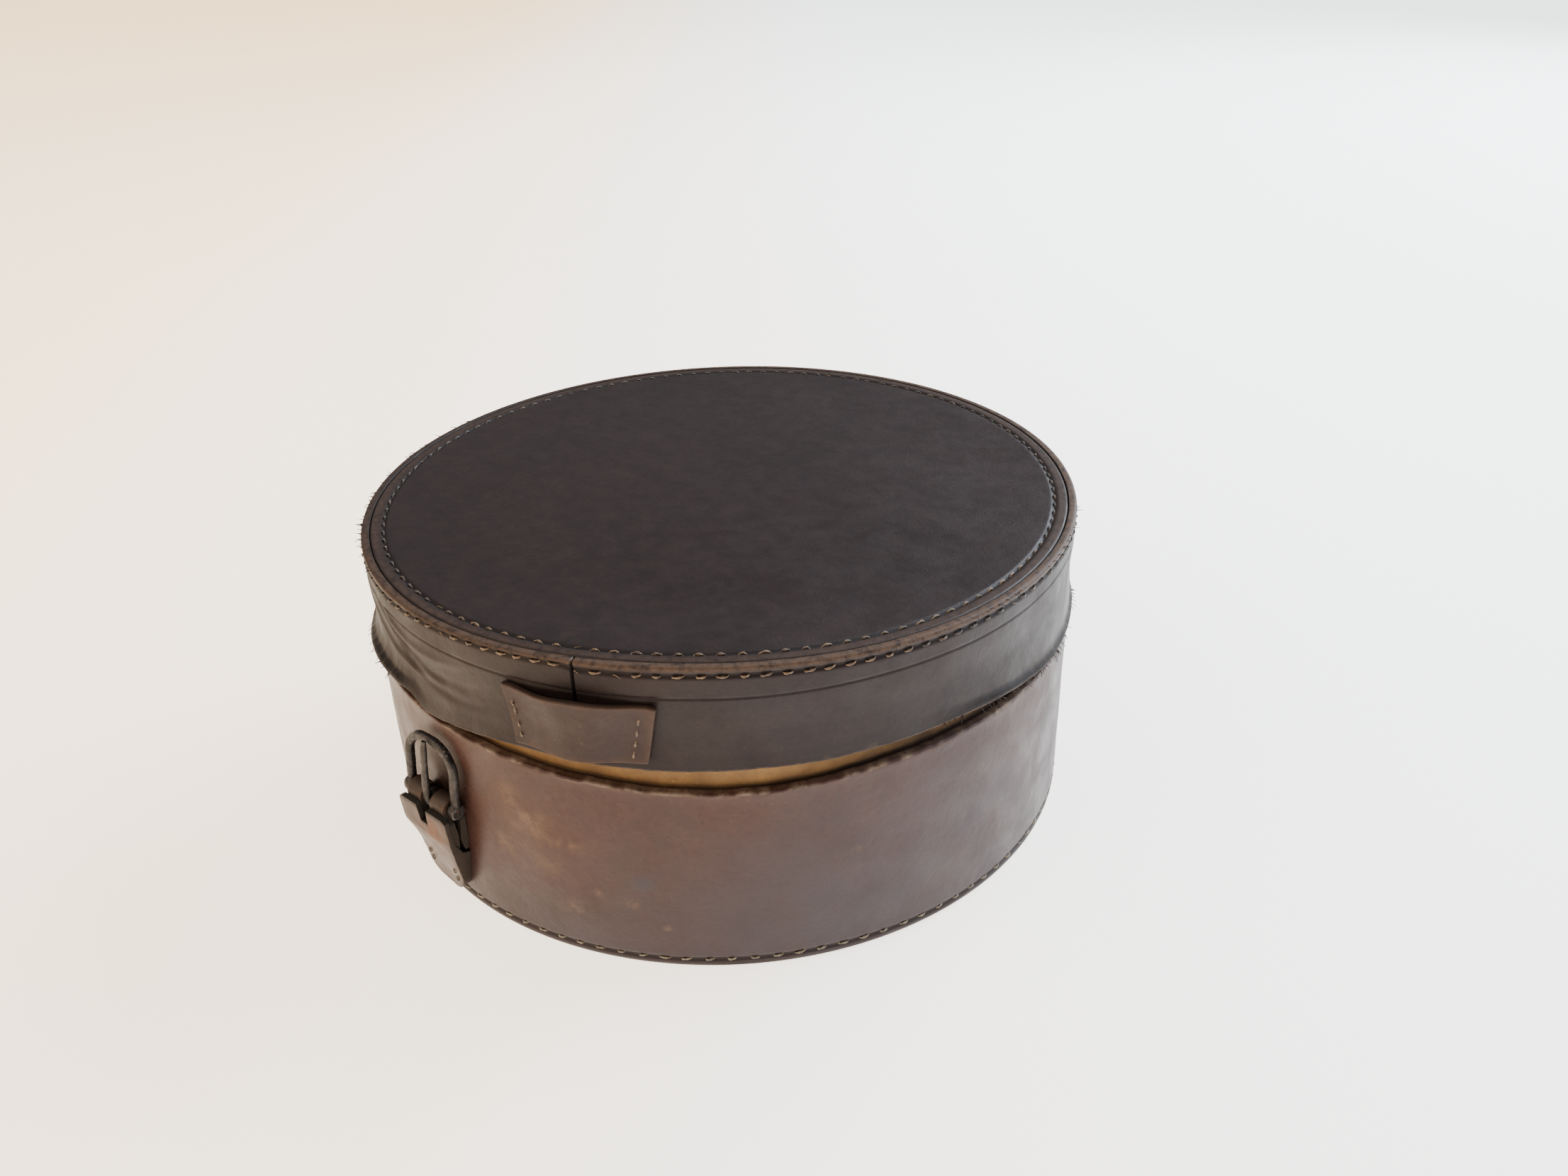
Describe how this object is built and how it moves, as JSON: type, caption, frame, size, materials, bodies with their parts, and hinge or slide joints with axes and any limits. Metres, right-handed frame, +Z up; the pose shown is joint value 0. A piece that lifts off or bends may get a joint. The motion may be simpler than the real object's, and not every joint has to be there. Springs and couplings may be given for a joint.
{
  "type": "hat box",
  "caption": "Round leather hat box with a lift-off lid over an inner collar, box-stitched panels, a buckle on a folded chape and a strap keeper on the lid.",
  "frame": {"origin": "centre of the base's underside, on the plane the box stands on", "axes": "+Z up the axis of the box, -Y towards the buckle, +X to the right as one faces the buckle"},
  "size_m": [0.2084, 0.2167, 0.0906],
  "materials": {
    "body_leather": "worn satin, reddish brown with paler spots",
    "lid_leather": "worn satin, chocolate brown",
    "collar_leather": "unworn, golden tan",
    "lining_cloth": "glazed cotton on card, buff",
    "linen_thread": "waxed linen",
    "black_iron": "blackened, worn"
  },
  "bodies": {
    "body": {"body_wall": "body_leather", "base_panel": "body_leather", "body_collar": "collar_leather", "collar_lining": "lining_cloth", "base_pad": "lining_cloth", "base_seam_outer_thread": "linen_thread", "base_seam_inner_thread": "linen_thread", "chape": "body_leather", "chape_cover": "body_leather", "cover_left_thread": "linen_thread", "cover_right_thread": "linen_thread"},
    "buckle": {"buckle_frame": "black_iron"},
    "prong": {"buckle_prong": "black_iron"},
    "lid": {"lid_wall": "lid_leather", "lid_panel": "lid_leather", "lid_pad": "lining_cloth", "lid_seam_outer_thread": "linen_thread", "lid_seam_inner_thread": "linen_thread", "keeper": "lid_leather", "keeper_left_thread": "linen_thread", "keeper_right_thread": "linen_thread"}
  },
  "joints": [
    {"name": "lid_lift", "type": "slide", "parent": "body", "child": "lid", "axis": [0, 0, 1], "range_m": [0, 0.12]},
    {"name": "buckle_swing", "type": "hinge", "parent": "body", "child": "buckle", "pos_m": [0.001, -0.10668, 0.0354], "axis": [0.9865, 0.1386, -0.0872], "range_deg": [0, 90]},
    {"name": "prong_swing", "type": "hinge", "parent": "buckle", "child": "prong", "pos_m": [0.001, -0.10668, 0.0354], "axis": [0.9865, 0.1386, -0.0872], "range_deg": [0, 35]}
  ]
}
